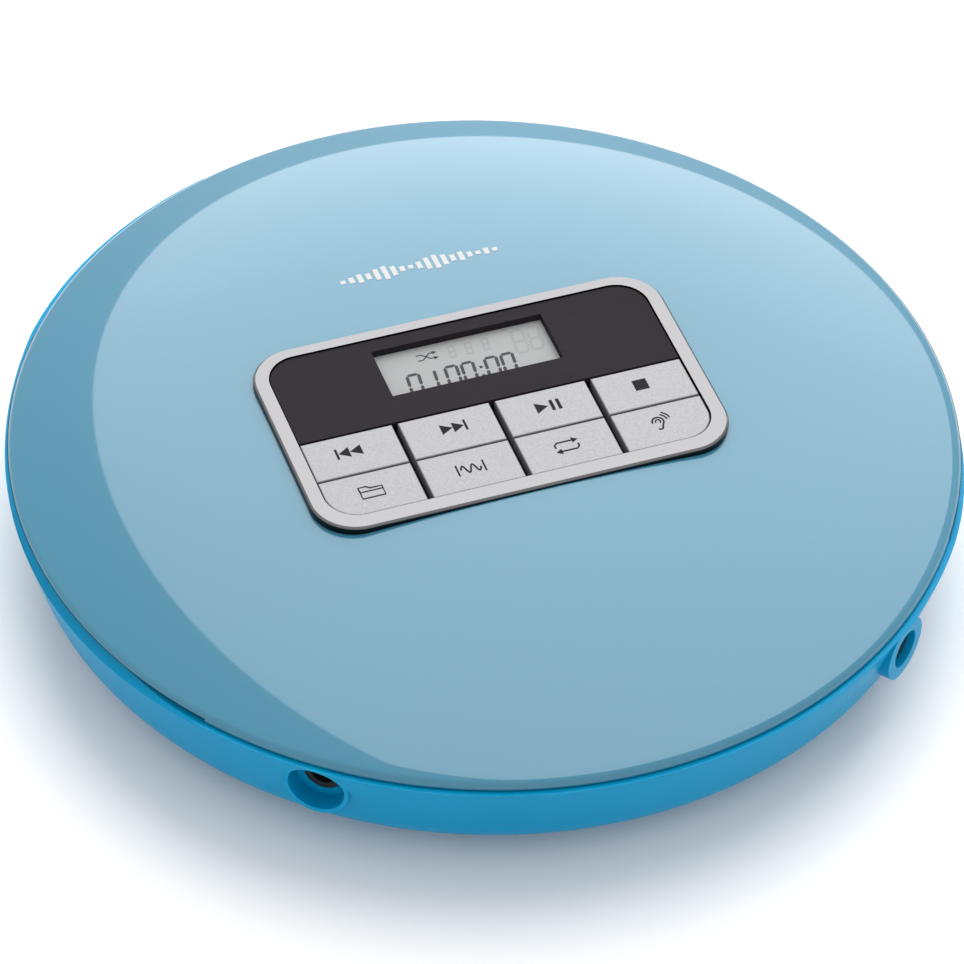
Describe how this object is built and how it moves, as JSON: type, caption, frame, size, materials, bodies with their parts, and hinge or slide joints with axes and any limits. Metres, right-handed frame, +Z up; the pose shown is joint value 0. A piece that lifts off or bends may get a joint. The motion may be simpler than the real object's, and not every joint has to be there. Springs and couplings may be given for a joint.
{
  "type": "portable cd player",
  "caption": "Round portable disc player with hinged glossy lid, display and key panel, finger-lift gaps, side jacks, disc deck, laser pickup drive and sliding battery door.",
  "frame": {"origin": "middle of the footprint on the table, on the disc axis", "axes": "+Z up, front (side away from the hinge) towards -Y, +X to the right seen from the front"},
  "size_m": [0.139, 0.1391, 0.0268],
  "materials": {
    "lid_blue": "high gloss",
    "base_blue": "gloss",
    "bezel_silver": "satin top, polished sides",
    "key_silver": "fine-grained satin",
    "display_dark": "smooth gloss",
    "screen_grey": "matt reflective display",
    "rubber": "matt",
    "steel": "bright",
    "deck_grey": "fine texture",
    "chassis_black": "satin",
    "black_plastic": "satin",
    "circuit_board": "solder mask",
    "aluminium_can": "satin",
    "ribbon": "film",
    "brass": "bright",
    "gear_white": "satin",
    "lens_glass": "polished"
  },
  "bodies": {
    "base": {"base_shell": "base_blue", "hinge_pin": "steel", "rubber_feet": "rubber", "disc_deck": "deck_grey", "case_screws": "steel", "lid_switch": "black_plastic", "guide_rod_left": "steel", "guide_rod_right": "steel", "mechanism_chassis": "chassis_black", "damper_grommets": "rubber", "damper_screws": "steel", "spindle_motor": "steel", "sled_motor": "steel", "main_board": "circuit_board", "board_chips": "black_plastic", "capacitors": "aluminium_can", "headphone_jack": "black_plastic", "headphone_jack_board": "circuit_board", "power_jack": "black_plastic", "power_jack_board": "circuit_board", "power_jack_pin": "steel", "battery_contacts": "steel", "contact_springs": "steel"},
    "lid": {"lid_shell": "lid_blue", "lid_inner_cover": "deck_grey", "inner_cover_screws": "steel", "bezel_frame": "bezel_silver", "display_surround": "display_dark", "lcd_module": "screen_grey", "keypad_mat": "rubber", "key_board": "circuit_board", "key_board_screws": "steel", "lid_ribbon": "ribbon"},
    "turntable": {"disc_hub": "chassis_black", "spindle_shaft": "steel", "hub_balls": "steel"},
    "pickup": {"pickup_sled": "chassis_black", "laser_unit": "brass", "sled_rack": "gear_white"},
    "lens": {"lens_holder": "chassis_black", "objective_lens": "lens_glass"},
    "drive_gear": {"drive_pinion": "gear_white", "drive_wheel": "gear_white"},
    "motor_rotor": {"motor_pinion": "brass"},
    "door": {"battery_door": "base_blue"},
    "key_previous": {"key_previous": "key_silver"},
    "key_next": {"key_next": "key_silver"},
    "key_play_pause": {"key_play_pause": "key_silver"},
    "key_stop": {"key_stop": "key_silver"},
    "key_folder": {"key_folder": "key_silver"},
    "key_antishock": {"key_antishock": "key_silver"},
    "key_mode": {"key_mode": "key_silver"},
    "key_sound": {"key_sound": "key_silver"}
  },
  "joints": [
    {"name": "lid_hinge", "type": "hinge", "parent": "base", "child": "lid", "pos_m": [0, 0.0674, 0.0176], "axis": [-1, 0, 0], "range_deg": [0, 75]},
    {"name": "turntable_spin", "type": "hinge", "parent": "base", "child": "turntable", "pos_m": [0, 0, 0.016], "axis": [0, 0, 1], "continuous": true},
    {"name": "pickup_slide", "type": "slide", "parent": "base", "child": "pickup", "axis": [0, -1, 0], "range_m": [0, 0.0325]},
    {"name": "lens_focus", "type": "slide", "parent": "pickup", "child": "lens", "axis": [0, 0, 1], "range_m": [-0.0004, 0.0004], "stiffness_N_per_m": 60},
    {"name": "drive_gear_spin", "type": "hinge", "parent": "base", "child": "drive_gear", "pos_m": [-0.025, -0.024, 0.0125], "axis": [0, 0, 1], "range_deg": [-534, 0]},
    {"name": "motor_spin", "type": "hinge", "parent": "base", "child": "motor_rotor", "pos_m": [-0.03282, -0.01362, 0.0145], "axis": [0, 0, 1], "range_deg": [0, 1776]},
    {"name": "battery_door_slide", "type": "slide", "parent": "base", "child": "door", "axis": [0, 1, 0], "range_m": [0, 0.03]},
    {"name": "key_previous_press", "type": "slide", "parent": "lid", "child": "key_previous", "axis": [0, 0, -1], "range_m": [0, 0.0004], "stiffness_N_per_m": 1500, "springref_m": -0.0002},
    {"name": "key_next_press", "type": "slide", "parent": "lid", "child": "key_next", "axis": [0, 0, -1], "range_m": [0, 0.0004], "stiffness_N_per_m": 1500, "springref_m": -0.0002},
    {"name": "key_play_pause_press", "type": "slide", "parent": "lid", "child": "key_play_pause", "axis": [0, 0, -1], "range_m": [0, 0.0004], "stiffness_N_per_m": 1500, "springref_m": -0.0002},
    {"name": "key_stop_press", "type": "slide", "parent": "lid", "child": "key_stop", "axis": [0, 0, -1], "range_m": [0, 0.0004], "stiffness_N_per_m": 1500, "springref_m": -0.0002},
    {"name": "key_folder_press", "type": "slide", "parent": "lid", "child": "key_folder", "axis": [0, 0, -1], "range_m": [0, 0.0004], "stiffness_N_per_m": 1500, "springref_m": -0.0002},
    {"name": "key_antishock_press", "type": "slide", "parent": "lid", "child": "key_antishock", "axis": [0, 0, -1], "range_m": [0, 0.0004], "stiffness_N_per_m": 1500, "springref_m": -0.0002},
    {"name": "key_mode_press", "type": "slide", "parent": "lid", "child": "key_mode", "axis": [0, 0, -1], "range_m": [0, 0.0004], "stiffness_N_per_m": 1500, "springref_m": -0.0002},
    {"name": "key_sound_press", "type": "slide", "parent": "lid", "child": "key_sound", "axis": [0, 0, -1], "range_m": [0, 0.0004], "stiffness_N_per_m": 1500, "springref_m": -0.0002}
  ],
  "couplings": [
    {"joint": "drive_gear_spin", "follows": "pickup_slide", "rad_per_m": -285.71},
    {"joint": "motor_spin", "follows": "pickup_slide", "rad_per_m": 952.38}
  ]
}
